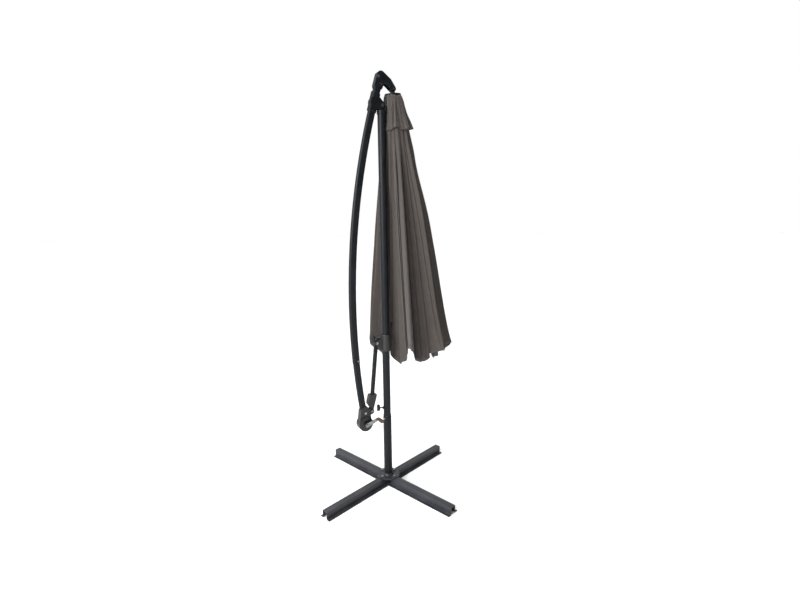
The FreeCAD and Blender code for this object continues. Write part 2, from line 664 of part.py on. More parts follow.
# ---- slider and strut --------------------------------------------------------------------------
def slider():
    low, high = "slider_pin_z - slider_below", "slider_pin_z + slider_above"
    knob_z = "slider_pin_z + slider_knob_rise"
    body = turned("slider", [
        ("0", low), ("slider_dia / 2 - 2", low), ("slider_dia / 2", f"{low} + 4"),
        ("slider_dia / 2", f"{high} - 4"), ("slider_dia / 2 - 2", high), ("0", high),
    ])
    for web_z, web_radius in (("slider_pin_z", "26"), ("slider_pin_z - 27", "28")):
        sketch = sketch_on(body, "XZ_Plane")
        hull(sketch, "-15", web_z, web_radius, "slider_pin_x", "slider_pin_z", "ear_radius")
        pad(body, sketch, "ear_width")
    sketch = sketch_on(body, "XY_Plane")
    circle(sketch, "0", "0", "slider_bore / 2")
    pocket(body, sketch)
    sketch = sketch_on(body, "XZ_Plane")
    outline(sketch, [
        ("slider_pin_x - 30", f"{low} - 10"), ("-slider_dia / 2 - 0.5", f"{low} - 10"),
        ("-slider_dia / 2 - 0.5", f"{high} + 10"), ("slider_pin_x - 30", f"{high} + 10"),
    ])
    pocket(body, sketch, "ear_gap")
    sketch = sketch_on(body, "XZ_Plane")
    circle(sketch, "slider_pin_x", "slider_pin_z", "stub_dia / 2 + 0.05")
    pocket(body, sketch)
    stem = direction("knob_azimuth")
    way = ("cos(knob_azimuth)", "sin(knob_azimuth)")
    boss = rod(
        f"26 * {way[0]}", f"26 * {way[1]}", knob_z, stem, "slider_boss_dia / 2", "slider_boss_end - 26",
    )
    bore = rod(f"20 * {way[0]}", f"20 * {way[1]}", knob_z, stem, "knob_stem_dia / 2 + fit_gap", "40")
    keep(cut(join(body, boss), bore), "slider_sleeve")
    stubs = []
    for side, axis in ((-1, (0, -1, 0)), (1, Y_AXIS)):
        stubs.append(join(
            rod("slider_pin_x", f"{side} * (ear_gap / 2 + 0.2)", "slider_pin_z", axis, "stub_dia / 2",
                "(ear_width - ear_gap) / 2 + 2"),
            rod("slider_pin_x", f"{side} * ear_width / 2", "slider_pin_z", axis, "stub_dia * 0.95", "5"),
        ))
    keep(group(*stubs), "slider_pin")
    lobed_knob("slider_knob", "slider_knob_dia", "slider_knob_thick", "slider_knob_seat",
               "(mast_dia / 2 + 0.5)", knob_z)


STRUT_LENGTH = "sqrt((slider_pin_x - boom_pin_x) ^ 2 + (slider_pin_z - boom_pin_z) ^ 2)"
STRUT_LEAN = "atan((slider_pin_x - boom_pin_x) / (slider_pin_z - boom_pin_z))"


def on_strut(item):
    """Put an item whose Z axis runs up the strut from the boom pin in its place."""
    return place(item, "boom_pin_x", "0", "boom_pin_z", Y_AXIS, STRUT_LEAN)


def strut():
    tube_low, tube_high = "(handle_top - 44)", f"({STRUT_LENGTH} - eye_length - 2)"
    bore = "strut_dia / 2 - strut_wall"
    body = turned("tube", [
        (bore, tube_low), ("strut_dia / 2", tube_low), ("strut_dia / 2", tube_high), (bore, tube_high),
    ])
    keep(on_strut(body), "strut_tube")

    body = turned("plug", [
        ("0", f"{tube_high} - 20"), (f"{bore} - 0.2", f"{tube_high} - 20"), (f"{bore} - 0.2", tube_high),
        ("strut_dia / 2", tube_high), ("strut_dia / 2 - 1", f"{tube_high} + 5"), ("0", f"{tube_high} + 5"),
    ])
    sketch = sketch_on(body, "XZ_Plane")
    hull(sketch, "0", f"{tube_high} + 8", "eye_radius", "0", STRUT_LENGTH, "eye_radius")
    pad(body, sketch, "eye_thick")
    sketch = sketch_on(body, "XZ_Plane")
    circle(sketch, "0", STRUT_LENGTH, "stub_dia / 2")
    pocket(body, sketch)
    keep(on_strut(body), "strut_top_eye")

    body = new_body("lever")
    sketch = sketch_on(body, "XZ_Plane")
    outline(sketch, [
        ("-22", "handle_top"), ("24", "handle_top"), ("10", "24"), ("-12", "24"), ("-30", "48"),
    ])
    pad(body, sketch, "handle_width")
    sketch = sketch_on(body, "XZ_Plane")
    hull(sketch, "0", "0", "foot_eye_radius", "0", "30", "foot_eye_radius")
    pad(body, sketch, "foot_eye_thick")
    sketch = sketch_on(body, "XZ_Plane")
    circle(sketch, "0", "0", "boom_pin_dia / 2 + 0.15")
    pocket(body, sketch)
    seat = rod("0", "0", f"{tube_low} - 0.2", Z_AXIS, "strut_dia / 2 + 0.1", "60")
    keep(on_strut(cut(body, seat)), "strut_handle")


# ---- canopy frame, hanging folded from the elbow ------------------------------------------------
HUB_TURN = FreeCAD.Rotation(
    V(sin(val("bundle_tilt_azimuth") * pi / 180), -cos(val("bundle_tilt_azimuth") * pi / 180), 0),
    val("bundle_tilt"),
)
HANG_POINT = V(val("hang_x"), 0, val("hang_z"))
HUB_FRAME = FreeCAD.Placement(HANG_POINT + HUB_TURN.multVec(V(0, 0, -val("hub_drop"))), HUB_TURN)
RIB_FOOT_X = "(rib_ring + stretcher_on_rib * sin(rib_closed))"
STRETCHER_LEAN = f"asin(({RIB_FOOT_X} - runner_ring) / stretcher_length)"
RUNNER_DROP = (
    f"(stretcher_on_rib * cos(rib_closed) + sqrt(stretcher_length ^ 2 - ({RIB_FOOT_X} - runner_ring) ^ 2))"
)


def on_hub(item, azimuth=0, x="0", z="0", lean="0"):
    """Place an item in the hub's frame, at an azimuth about its axis and leaning outwards."""
    around = FreeCAD.Placement(V(), FreeCAD.Rotation(V(*Z_AXIS), val("bundle_yaw") + azimuth))
    out = FreeCAD.Placement(V(val(x), 0, val(z)), FreeCAD.Rotation(V(*Y_AXIS), val(lean)))
    item.Placement = HUB_FRAME * around * out
    return item


def rib_azimuth(number):
    return RIB_STEP * (number + 0.5)


def hub():
    body = turned("hub_disc", [
        ("4", "-10"), ("hub_dia / 2 - 4", "-10"), ("hub_dia / 2", "-6"), ("hub_dia / 2", "8"),
        ("20", "8"), ("20", "12"), ("4", "12"),
    ])
    sketch = sketch_on(body, "XY_Plane")
    half = "rib_eye_thick / 2 + 0.4"
    outline(sketch, [
        ("rib_ring - 5.5", f"-({half})"), ("hub_dia / 2 + 2", f"-({half})"),
        ("hub_dia / 2 + 2", half), ("rib_ring - 5.5", half),
    ])
    repeat(body, pocket(body, sketch), RIBS)
    wire = doc.addObject("Part::Torus", "rib_wire")
    bind(wire, "Radius1", "rib_ring")
    bind(wire, "Radius2", "rib_wire_dia / 2")
    keep(on_hub(join(body, wire), rib_azimuth(0)), "hub")

    body = turned("cap_plate", [
        ("0", "12.2"), ("cap_plate_dia / 2", "12.2"), ("cap_plate_dia / 2", "15"), ("18", "17"), ("0", "17"),
    ])
    sketch = sketch_on(body, "XZ_Plane")
    hull(sketch, "0", "16", "15", "0", "hub_drop", "hanger_eye / 2 + 4")
    pad(body, sketch, "hanger_thick")
    sketch = sketch_on(body, "XZ_Plane")
    circle(sketch, "0", "hub_drop", "hanger_eye / 2")
    pocket(body, sketch)
    sketch = sketch_on(body, "XZ_Plane")
    outline(sketch, [("-20", "-5"), ("20", "-5"), ("20", "12.2"), ("-20", "12.2")])
    pocket(body, sketch, "hanger_thick + 1")
    keep(on_hub(body, -val("bundle_yaw")), "hub_cap")


def rib(number):
    body = new_body("rib")
    sketch = sketch_on(body, "XZ_Plane")
    outline(sketch, [
        ("-rib_depth / 2", "-rib_length"), ("rib_depth / 2", "-rib_length"),
        ("rib_depth / 2", "-rib_root + 5"), ("-rib_depth / 2", "-rib_root + 5"),
    ])
    pad(body, sketch, "rib_width")
    sketch = sketch_on(body, "XZ_Plane")
    hull(sketch, "0", "0", "rib_depth / 2", "0", "-rib_root", "rib_depth / 2")
    pad(body, sketch, "rib_eye_thick")
    sketch = sketch_on(body, "XZ_Plane")
    circle(sketch, "0", "0", "rib_wire_dia / 2 + fit_gap")
    circle(sketch, "0", "-stretcher_on_rib", "rivet_dia / 2 + 0.05")
    pocket(body, sketch)
    keep(on_hub(body, rib_azimuth(number), "rib_ring", "0", "-rib_closed"), f"rib_{number + 1}")


def stretcher(number):
    """Bar with a fork that straddles its rib, riveted through it."""
    body = new_body("stretcher")
    sketch = sketch_on(body, "XZ_Plane")
    hull(sketch, "0", "0", "stretcher_depth / 2", "0", "-fork_length", "stretcher_depth / 2")
    pad(body, sketch, "fork_width")
    sketch = sketch_on(body, "XZ_Plane")
    outline(sketch, [("-8", "8 - fork_length"), ("8", "8 - fork_length"), ("8", "8"), ("-8", "8")])
    pocket(body, sketch, "fork_gap")
    sketch = sketch_on(body, "XZ_Plane")
    hull(sketch, "0", "-fork_length", "stretcher_depth / 2", "0", "-stretcher_length", "stretcher_depth / 2")
    pad(body, sketch, "stretcher_width")
    sketch = sketch_on(body, "XZ_Plane")
    circle(sketch, "0", "0", "rivet_dia / 2")
    pad(body, sketch, "fork_width + 2")
    z = "-stretcher_on_rib * cos(rib_closed)"
    on_hub(body, rib_azimuth(number), RIB_FOOT_X, z, STRETCHER_LEAN)
    keep(body, f"stretcher_{number + 1}")


def runner_and_cord():
    half = "runner_height / 2"
    body = turned("runner_core", [
        ("0", f"-{half}"), ("runner_dia / 2 - 3", f"-{half}"), ("runner_dia / 2", f"3 - {half}"),
        ("runner_dia / 2", f"{half} - 3"), ("runner_dia / 2 - 3", half), ("0", half),
    ])
    keep(on_hub(body, 0, "0", f"-{RUNNER_DROP}"), "runner")
    cord = doc.addObject("Part::Cylinder", "cord")
    bind(cord, "Radius", "cord_dia / 2")
    bind(cord, "Height", f"{RUNNER_DROP} - {half} - 10.6")
    keep(on_hub(cord, 0, "0", f"{half} + 0.3 - {RUNNER_DROP}"), "hoist_cord")


# ---- folded fabric ------------------------------------------------------------------------------
def vent_canopy():
    """Short upper tier: a thin cone over the top of the main panels."""
    corners = []
    for depth, gap in (("vent_top", 0), ("vent_bottom", 0), ("vent_bottom", 1), ("vent_top", 1)):
        radius = f"rib_ring + {depth} * sin(rib_closed) + vent_gap + {gap} * vent_thick"
        corners.append((radius, f"-{depth} * cos(rib_closed)"))
    keep(on_hub(turned("vent", corners)), "vent_canopy")


def panel_section(depth, bulge):
    """Cross-section of one folded panel: a thin bent strip from one rib to the next."""
    sketch = doc.addObject("Sketcher::SketchObject", "panel_section")
    near = f"(rib_ring + {depth} * sin(rib_closed) + cloth_gap)"
    far = f"({near} + cloth_thick)"
    half = RIB_STEP / 2
    middle, outer = f"({near} * cos({half}) + {bulge})", f"({far} * cos({half}) + {bulge})"

    def far_side(radius):
        return (f"{radius} * cos({RIB_STEP}) + panel_split * sin({RIB_STEP})",
                f"{radius} * sin({RIB_STEP}) - panel_split * cos({RIB_STEP})")

    outline(sketch, [
        (near, "panel_split"), (far, "panel_split"),
        (f"{outer} * cos({half})", f"{outer} * sin({half})"), far_side(far), far_side(near),
        (f"{middle} * cos({half})", f"{middle} * sin({half})"),
    ])
    place(sketch, z=f"-{depth} * cos(rib_closed)")
    return sketch


def canopy_panel(number):
    mast_side = number in (2, 3)
    bulge = "0" if mast_side else "panel_bulge"
    loft = doc.addObject("Part::Loft", "panel")
    loft.Sections = [panel_section("panel_top", "0"), panel_section("panel_bottom", bulge)]
    loft.Solid = True
    loft.Ruled = True
    keep(on_hub(loft, rib_azimuth(number)), f"canopy_panel_{number + 1}")


# ---- build, check and write ---------------------------------------------------------------------
def build():
    base()
    mast()
    head_bracket()
    yoke()
    boom_tubes()
    elbow()
    crank_housing()
    crank()
    slider()
    strut()
    hub()
    runner_and_cord()
    vent_canopy()
    for number in range(RIBS):
        rib(number)
        stretcher(number)
        canopy_panel(number)
    doc.recompute()


def check():
    for item in doc.Objects:
        if {"Invalid", "Error"} & set(item.State):
            raise ValueError(f"{item.Label} failed: {item.State}")
    for node in nodes:
        if node.Shape.isNull() or not node.Shape.isValid():
            raise ValueError(f"{node.Label} has no valid shape")


def write():
    os.makedirs("parts", exist_ok=True)
    for node in nodes:
        node.Shape.exportStep(f"parts/{node.Label}.step")
        print(f"{node.Label}: {len(node.Shape.Solids)} solid, {node.Shape.Volume / 1000:.1f} cm3")


build()
check()
write()
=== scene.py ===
import json
from math import cos, pi, radians, sin

import bpy
import numpy as np
from mathutils import Matrix, Vector


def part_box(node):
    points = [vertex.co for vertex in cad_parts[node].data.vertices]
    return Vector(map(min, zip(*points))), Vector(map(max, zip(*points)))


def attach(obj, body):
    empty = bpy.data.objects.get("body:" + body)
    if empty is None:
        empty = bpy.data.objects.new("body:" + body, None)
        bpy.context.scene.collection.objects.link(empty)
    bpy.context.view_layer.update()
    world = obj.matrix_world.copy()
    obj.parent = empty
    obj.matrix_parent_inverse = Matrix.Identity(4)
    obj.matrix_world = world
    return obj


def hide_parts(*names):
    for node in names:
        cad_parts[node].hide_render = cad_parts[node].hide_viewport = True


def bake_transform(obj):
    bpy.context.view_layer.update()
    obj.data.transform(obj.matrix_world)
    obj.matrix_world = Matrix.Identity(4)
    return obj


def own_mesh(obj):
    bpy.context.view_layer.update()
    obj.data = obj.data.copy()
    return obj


# Cantilever parasol, folded.  Metres, +Z up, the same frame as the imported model.
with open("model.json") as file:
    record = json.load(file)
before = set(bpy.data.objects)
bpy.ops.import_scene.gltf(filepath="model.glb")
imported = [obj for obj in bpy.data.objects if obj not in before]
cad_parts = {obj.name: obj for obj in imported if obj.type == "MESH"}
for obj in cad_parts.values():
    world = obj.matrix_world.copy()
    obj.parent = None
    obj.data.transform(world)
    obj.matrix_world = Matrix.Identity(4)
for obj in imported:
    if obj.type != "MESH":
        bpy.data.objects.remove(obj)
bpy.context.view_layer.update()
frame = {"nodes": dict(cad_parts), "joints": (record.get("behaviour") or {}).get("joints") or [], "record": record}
JOINTS = {joint["name"]: joint for joint in frame["joints"]}
GORES = 8
SEED = 7
rng = np.random.default_rng(SEED)


# ---- camera, light and floor -------------------------------------------------------------------
def make_camera():
    """Camera in front of the parasol and to its left, looking slightly down."""
    azimuth, aim, pitch, roll = radians(-27), radians(-28.96), 0.1597, -0.0145
    distance, height = 2.5888, 1.5685
    forward = np.array([-sin(aim) * cos(pitch), cos(aim) * cos(pitch), -sin(pitch)])
    right = np.array([cos(aim), sin(aim), 0.0])
    up = np.cross(right, forward)
    level_right = right * cos(roll) + up * sin(roll)
    level_up = up * cos(roll) - right * sin(roll)
    data = bpy.data.cameras.new("camera")
    data.lens, data.sensor_width = 20.02, 36
    data.clip_start, data.clip_end = 0.05, 100
    camera = bpy.data.objects.new("camera", data)
    bpy.context.collection.objects.link(camera)
    turn = Matrix([[level_right[k], level_up[k], -forward[k]] for k in range(3)]).to_4x4()
    place = Matrix.Translation((sin(azimuth) * distance, -cos(azimuth) * distance, height))
    camera.matrix_world = place @ turn
    bpy.context.scene.camera = camera


def make_floor():
    reach, sides, white, rough = 90, 64, 0.96, 0.9
    angles = [2 * pi * n / sides for n in range(sides)]
    data = bpy.data.meshes.new("floor")
    data.from_pydata([(reach * cos(a), reach * sin(a), 0) for a in angles], [], [tuple(range(sides))])
    data.materials.append(plain("floor_white", (white, white, white), rough))
    floor = bpy.data.objects.new("floor", data)
    bpy.context.collection.objects.link(floor)


def make_world():
    """White studio: it lights the object less from one side, and the camera sees it white all round."""
    shade_way = Vector((0.75, -0.62, -0.1)).normalized()
    lit_until, dark_from, full, dim = -0.3, 0.5, 1.0, 0.03
    world = bpy.data.worlds.new("studio")
    world.use_nodes = True
    tree = world.node_tree
    shade_side = tree.nodes.new("ShaderNodeVectorMath")
    shade_side.operation = "DOT_PRODUCT"
    shade_side.inputs[1].default_value = shade_way
    tree.links.new(tree.nodes.new("ShaderNodeTexCoord").outputs["Generated"], shade_side.inputs[0])
    level = tree.nodes.new("ShaderNodeMapRange")
    level.interpolation_type = "SMOOTHSTEP"
    level.inputs["From Min"].default_value = lit_until
    level.inputs["From Max"].default_value = dark_from
    level.inputs["To Min"].default_value = full
    level.inputs["To Max"].default_value = dim
    tree.links.new(shade_side.outputs["Value"], level.inputs["Value"])
    backdrop = tree.nodes.new("ShaderNodeMath")
    backdrop.operation = "MAXIMUM"
    tree.links.new(level.outputs["Result"], backdrop.inputs[0])
    tree.links.new(tree.nodes.new("ShaderNodeLightPath").outputs["Is Camera Ray"], backdrop.inputs[1])
    background = tree.nodes["Background"]
    background.inputs["Color"].default_value = (1, 1, 1, 1)
    tree.links.new(backdrop.outputs["Value"], background.inputs["Strength"])
    bpy.context.scene.world = world
    bpy.context.scene.view_settings.view_transform = "Standard"


def make_lights():
    """A large soft light from the left, and a wide soft one from straight above."""
    place, target = Vector((-4.2, -1.9, 3.0)), Vector((0.1, 0, 1.2))
    data = bpy.data.lights.new("key", "AREA")
    data.energy, data.size = 330, 2.8
    key = bpy.data.objects.new("key", data)
    key.location = place
    key.rotation_euler = (target - place).to_track_quat("-Z", "Y").to_euler()
    bpy.context.collection.objects.link(key)
    data = bpy.data.lights.new("above", "SUN")
    data.energy, data.angle = 1.6, radians(50)
    bpy.context.collection.objects.link(bpy.data.objects.new("above", data))


# ---- materials ---------------------------------------------------------------------------------
class Shader:
    """Small helper that builds one node material."""

    def __init__(self, name):
        self.material = bpy.data.materials.new(name)
        self.material.use_nodes = True
        self.tree = self.material.node_tree
        self.surface = self.tree.nodes["Principled BSDF"]
        self.place = self.add("ShaderNodeTexCoord")

    def add(self, kind, **settings):
        """New node with these properties."""
        node = self.tree.nodes.new(kind)
        for key, value in settings.items():
            setattr(node, key, value)
        return node

    def link(self, source, target):
        self.tree.links.new(source, target)

    def feed(self, node, **values):
        """Set or link inputs by their names, with _ for a space."""
        for key, value in values.items():
            socket = node.inputs[key.replace("_", " ")]
            if isinstance(value, bpy.types.NodeSocket):
                self.link(value, socket)
            else:
                socket.default_value = value
        return node

    def noise(self, scale, detail=3.0, stretch=(1, 1, 1), uv=False):
        """Noise in object space, or in the UV map."""
        source = self.place.outputs["UV" if uv else "Object"]
        mapping = self.add("ShaderNodeMapping")
        self.link(source, mapping.inputs["Vector"])
        mapping.inputs["Scale"].default_value = stretch
        texture = self.add("ShaderNodeTexNoise")
        self.feed(texture, Vector=mapping.outputs["Vector"], Scale=scale, Detail=detail)
        return texture.outputs["Fac"]

    def ramp(self, value, low, high, start=0.35, end=0.65):
        """Number or colour that runs from low to high as value goes from start to end."""
        if isinstance(low, tuple):
            node = self.add("ShaderNodeValToRGB")
            node.color_ramp.elements[0].position, node.color_ramp.elements[1].position = start, end
            node.color_ramp.elements[0].color = (*low, 1)
            node.color_ramp.elements[1].color = (*high, 1)
            self.link(value, node.inputs["Fac"])
            return node.outputs["Color"]
        node = self.add("ShaderNodeMapRange")
        self.feed(node, Value=value)
        for key, number in (("From Min", start), ("From Max", end), ("To Min", low), ("To Max", high)):
            node.inputs[key].default_value = number
        return node.outputs["Result"]

    def mix(self, share, first, second):
        """Colour that is first where share is 0 and second where it is 1."""
        node = self.add("ShaderNodeMix", data_type="RGBA")
        sockets = [s for s in node.inputs if s.type == "RGBA"]
        factor = next(s for s in node.inputs if s.name == "Factor" and s.type == "VALUE")
        for socket, value in ((factor, share), (sockets[0], first), (sockets[1], second)):
            if isinstance(value, bpy.types.NodeSocket):
                self.link(value, socket)
            else:
                socket.default_value = value
        return next(s for s in node.outputs if s.type == "RGBA")

    def maths(self, operation, *values):
        """Result of a Math node, from sockets and numbers."""
        node = self.add("ShaderNodeMath", operation=operation)
        for socket, value in zip(node.inputs, values):
            if isinstance(value, bpy.types.NodeSocket):
                self.link(value, socket)
            else:
                socket.default_value = value
        return node.outputs["Value"]

    def edges(self, radius):
        """1 at outer and inner edges, 0 on open faces."""
        at_edge, on_face = 0.80, 0.98
        bevel = self.add("ShaderNodeBevel", samples=4)
        bevel.inputs["Radius"].default_value = radius
        normal = self.add("ShaderNodeNewGeometry")
        dot = self.add("ShaderNodeVectorMath", operation="DOT_PRODUCT")
        self.link(bevel.outputs["Normal"], dot.inputs[0])
        self.link(normal.outputs["Normal"], dot.inputs[1])
        return self.ramp(dot.outputs["Value"], 1.0, 0.0, at_edge, on_face)

    def bump(self, height, distance, strength, normal=None):
        """Normal with this height on top of another normal; distance is the height's scale in metres."""
        node = self.add("ShaderNodeBump")
        self.feed(node, Height=height, Distance=distance, Strength=strength)
        if normal is not None:
            self.link(normal, node.inputs["Normal"])
        return node.outputs["Normal"]

    def done(self, **values):
        """The material, once its surface has these values."""
        self.feed(self.surface, **values)
        return self.material


def plain(name, colour, rough):
    shader = Shader(name)
    return shader.done(Base_Color=(*colour, 1), Roughness=rough)


def scaled(colour, factor, extra=0.0):
    """Colour made lighter or darker, with its alpha."""
    return tuple(min(1, factor * part + extra) for part in colour) + (1,)


def powder_coat(name, dark, light, rough=(0.38, 0.54), coat=0.05):
    """Powder coat over steel: slow patches, orange-peel grain and slightly rubbed edges."""
    shader = Shader(name)
    edge_width, peel_height = 0.0012, 0.00012
    patches = shader.noise(9, 4)
    grain = shader.noise(950, 2)
    colour = shader.ramp(patches, dark, light, 0.3, 0.7)
    worn = shader.maths("MULTIPLY", shader.edges(edge_width), shader.ramp(shader.noise(60, 3), 0.1, 0.75))
    colour = shader.mix(worn, colour, scaled(light, 2.6, 0.01))
    return shader.done(
        Base_Color=colour, Roughness=shader.ramp(patches, *rough),
        Normal=shader.bump(grain, peel_height, 0.6), Coat_Weight=coat, Coat_Roughness=0.3,
        Specular_IOR_Level=0.16,
    )


def bright_metal(name, dark, light):
    """Zinc-plated steel with fine brushed lines and duller patches."""
    shader = Shader(name)
    scratch_depth = 0.00008
    lines = shader.noise(700, 2, (1, 1, 12))
    patches = shader.noise(35, 4)
    return shader.done(
        Base_Color=shader.ramp(patches, dark, light), Metallic=1.0,
        Roughness=shader.ramp(patches, 0.24, 0.4), Normal=shader.bump(lines, scratch_depth, 0.5),
    )


def moulded(name, dark, light):
    """Moulded plastic with a fine spark-eroded grain and faint flow marks."""
    shader = Shader(name)
    edge_width, edge_wear, grain_height = 0.0009, 0.35, 0.0001
    flow = shader.noise(22, 3, (1, 1, 3))
    grain = shader.noise(1900, 2)
    colour = shader.ramp(flow, dark, light)
    worn = shader.maths("MULTIPLY", shader.edges(edge_width), edge_wear)
    colour = shader.mix(worn, colour, scaled(light, 2.2, 0.012))
    return shader.done(
        Base_Color=colour, Roughness=shader.ramp(flow, 0.42, 0.58),
        Normal=shader.bump(grain, grain_height, 0.5),
    )


def stitches(shader, colour, distance, along):
    """Colour with a dashed row of thread where distance is 0."""
    half_thread, fade_out, stitch_pitch, thread_colour = 0.0004, 0.0009, 0.004, (0.05, 0.045, 0.04, 1)
    near = shader.ramp(shader.maths("ABSOLUTE", distance), 1.0, 0.0, half_thread, fade_out)
    dash = shader.maths("SINE", shader.maths("MULTIPLY", along, 2 * pi / stitch_pitch))
    dash = shader.ramp(dash, 0.0, 1.0, -0.5, -0.2)
    return shader.mix(shader.maths("MULTIPLY", near, dash), colour, thread_colour)


def woven(name, dark, light, hem_rows, seam_row):
    """Plain-woven polyester with rows of stitches.  The UV map is in metres, with v measured from the hem,
    and the attribute seam_distance holds the distance from the side seam."""
    shader = Shader(name)
    thread_pitch, crumple_height, weave_height = 0.0011, 0.002, 0.0003
    split = shader.add("ShaderNodeSeparateXYZ")
    shader.link(shader.place.outputs["UV"], split.inputs["Vector"])
    across, along = split.outputs["X"], split.outputs["Y"]
    warp = shader.maths("SINE", shader.maths("MULTIPLY", across, 2 * pi / thread_pitch))
    weft = shader.maths("SINE", shader.maths("MULTIPLY", along, 2 * pi / thread_pitch))
    weave = shader.maths("MULTIPLY", warp, weft)
    slubs = shader.noise(1, 2, (900, 60, 1), uv=True)
    threads = shader.noise(1, 2, (60, 900, 1), uv=True)
    cloth = shader.maths("ADD", shader.maths("MULTIPLY", weave, 0.5), shader.maths("ADD", slubs, threads))
    fade = shader.noise(3.2, 5, (1, 0.45, 1), uv=True)
    dust = shader.noise(26, 6, uv=True)
    colour = shader.ramp(fade, dark, light, 0.25, 0.75)
    colour = shader.mix(shader.ramp(dust, 0.0, 0.22, 0.45, 0.8), colour, scaled(light, 1.5))
    colour = shader.mix(shader.ramp(cloth, 0.0, 0.3, 0.6, 1.5), colour, scaled(dark, 0.55))
    for row in hem_rows:
        colour = stitches(shader, colour, shader.maths("SUBTRACT", along, row), across)
    seam = shader.add("ShaderNodeAttribute", attribute_name="seam_distance").outputs["Fac"]
    colour = stitches(shader, colour, shader.maths("SUBTRACT", seam, seam_row), along)
    normal = shader.bump(shader.noise(55, 4, (1, 0.3, 1), uv=True), crumple_height, 0.35)
    normal = shader.bump(cloth, weave_height, 0.5, normal)
    return shader.done(
        Base_Color=colour, Roughness=0.88, Normal=normal, Sheen_Weight=0.22, Sheen_Roughness=0.45,
        Specular_IOR_Level=0.25,
    )


def braided(name, dark, light):
    """Braided cord: two crossing helices, in a UV map in metres."""
    shader = Shader(name)
    turns, strand_height = 1500, 0.0004
    split = shader.add("ShaderNodeSeparateXYZ")
    shader.link(shader.place.outputs["UV"], split.inputs["Vector"])
    along, round_it = split.outputs["Y"], split.outputs["X"]
    first, second = (
        shader.maths("SINE", shader.maths("MULTIPLY", shader.maths(way, along, round_it), turns))
        for way in ("ADD", "SUBTRACT")
    )
    braid = shader.maths("MAXIMUM", first, second)
    return shader.done(
        Base_Color=shader.ramp(braid, dark, light, -0.3, 0.9), Roughness=0.8,
        Normal=shader.bump(braid, strand_height, 0.6), Sheen_Weight=0.2,
    )


make_camera()
make_floor()
make_world()
make_lights()
FINISH = {
    "frame_paint": powder_coat("frame_paint", (0.0035, 0.0045, 0.006), (0.008, 0.0095, 0.012)),
    "base_steel": powder_coat("base_steel", (0.016, 0.017, 0.021), (0.042, 0.043, 0.05), (0.28, 0.5), 0.2),
    "bright_steel": bright_metal("bright_steel", (0.16, 0.165, 0.17), (0.36, 0.365, 0.37)),
    "black_plastic": moulded("black_plastic", (0.004, 0.004, 0.005), (0.010, 0.010, 0.011)),
    "grip_plastic": moulded("grip_plastic", (0.045, 0.02, 0.014), (0.09, 0.045, 0.032)),
    "rib_steel": powder_coat("rib_steel", (0.015, 0.018, 0.022), (0.028, 0.032, 0.036)),
    "canopy_fabric": woven(
        "canopy_fabric", (0.046, 0.039, 0.0355), (0.068, 0.058, 0.0525), hem_rows=(0.006, 0.021),
        seam_row=0.005,
    ),
    "cord": braided("cord", (0.02, 0.02, 0.02), (0.09, 0.09, 0.088)),
}
SLOT_OF = {part["node"]: part["material_slot"] for part in frame["record"]["subparts"]}


def dress(piece, slot):
    """Give a piece the finish of a material slot."""
    piece.data.materials.clear()
    piece.data.materials.append(FINISH[slot])
    return piece


# ---- meshes ------------------------------------------------------------------------------------
def make_object(name, points, faces, uv=None):
    """Smooth mesh object; uv holds one pair for each point."""
    data = bpy.data.meshes.new(name)
    data.from_pydata([tuple(p) for p in points], [], faces)
    if uv is not None:
        layer = data.uv_layers.new(name="UVMap")
        loops = np.array([loop.vertex_index for loop in data.loops])
        layer.data.foreach_set("uv", np.asarray(uv, float)[loops].ravel())
    data.polygons.foreach_set("use_smooth", [True] * len(data.polygons))
    piece = bpy.data.objects.new(name, data)
    bpy.context.collection.objects.link(piece)
    return piece


def baked(piece):
    """Apply every modifier."""
    bpy.context.view_layer.update()
    final = bpy.data.meshes.new_from_object(piece.evaluated_get(bpy.context.evaluated_depsgraph_get()))
    piece.modifiers.clear()
    piece.data = final
    return piece


def grid_faces(rows, columns):
    """Faces of a grid of points, counted along its rows."""
    return [
        (r * columns + c, r * columns + c + 1, (r + 1) * columns + c + 1, (r + 1) * columns + c)
        for r in range(rows - 1) for c in range(columns - 1)
    ]


def ring_faces(rings, sides, closed=False):
    """Faces between rings of points, with capped ends or, when closed, from the last ring to the first."""
    faces = [
        (k * sides + n, k * sides + (n + 1) % sides, (k + 1) % rings * sides + (n + 1) % sides,
         (k + 1) % rings * sides + n)
        for k in range(rings if closed else rings - 1) for n in range(sides)
    ]
    if not closed:
        faces += [tuple(range(sides - 1, -1, -1)), tuple((rings - 1) * sides + n for n in range(sides))]
    return faces


def tube_along(name, path, radius, sides=10):
    """Round tube along a list of points, with closed ends and a UV map in metres."""
    path = np.array(path, float)
    way = np.gradient(path, axis=0)
    way /= np.linalg.norm(way, axis=1)[:, None]
    not_along = (0.3, 0.2, 0.9)
    side = np.cross(way[0], not_along)
    rings, uv, length = [], [], 0.0
    for k, (point, heading) in enumerate(zip(path, way)):
        side = side - heading * (side @ heading)
        side /= np.linalg.norm(side)
        other = np.cross(heading, side)
        if k:
            length += np.linalg.norm(point - path[k - 1])
        for n in range(sides + 1):
            angle = 2 * pi * n / sides
            rings.append(point + radius * (cos(angle) * side + sin(angle) * other))
            uv.append((radius * angle, length))
    faces = grid_faces(len(path), sides + 1)
    last = (len(path) - 1) * (sides + 1)
    faces += [tuple(range(sides - 1, -1, -1)), tuple(last + n for n in range(sides))]
    return make_object(name, rings, faces, uv)


# ---- canopy kinematics -------------------------------------------------------------------------
def unit(vector):
    return np.array(vector, float) / np.linalg.norm(vector)


